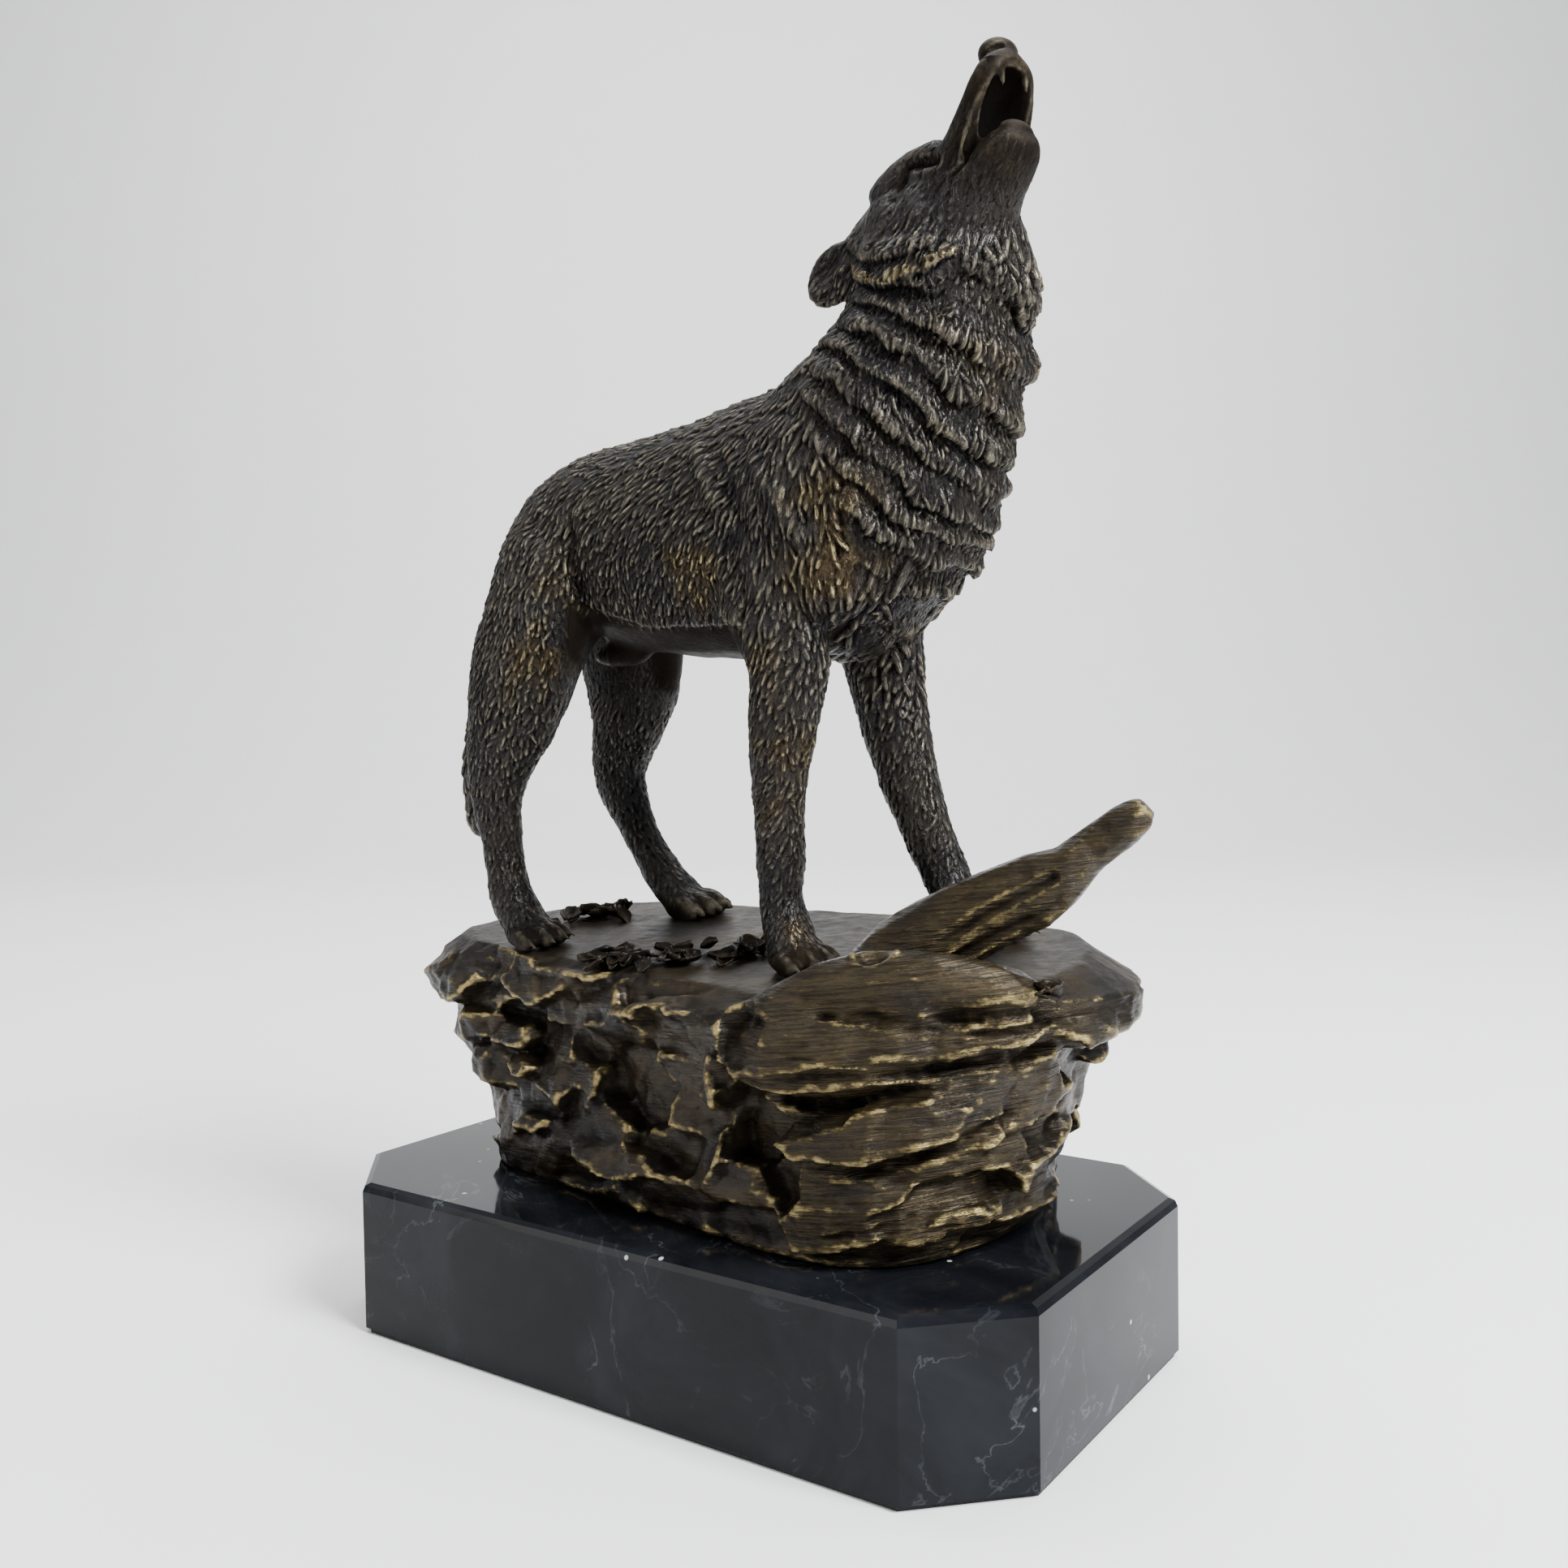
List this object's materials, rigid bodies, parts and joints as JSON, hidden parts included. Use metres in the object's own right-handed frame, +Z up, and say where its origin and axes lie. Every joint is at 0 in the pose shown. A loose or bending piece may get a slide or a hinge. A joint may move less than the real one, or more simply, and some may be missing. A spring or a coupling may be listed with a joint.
{
  "type": "wolf figurine",
  "caption": "Howling wolf figurine in patinated bronze, standing on a bronze rock with driftwood, on a bevelled black marble plinth with a felt underside.",
  "frame": {"origin": "middle of the felt's underside, which is the middle of the plinth", "axes": "+X along the plinth the way the wolf faces, +Y to the wolf's left, +Z up"},
  "size_m": [0.1885, 0.108, 0.271],
  "materials": {
    "bronze": "dark brown patina with edges rubbed to gold",
    "marble": "polished black with faint pale veins",
    "felt": "black felt",
    "steel": "zinc plated"
  },
  "bodies": {
    "root": {"wolf": "bronze", "rock": "bronze", "marble_plinth": "marble", "felt_pad": "felt", "fixing_stud_1": "steel", "fixing_stud_2": "steel", "washer_1": "steel", "washer_2": "steel", "nut_1": "steel", "nut_2": "steel"}
  },
  "joints": []
}
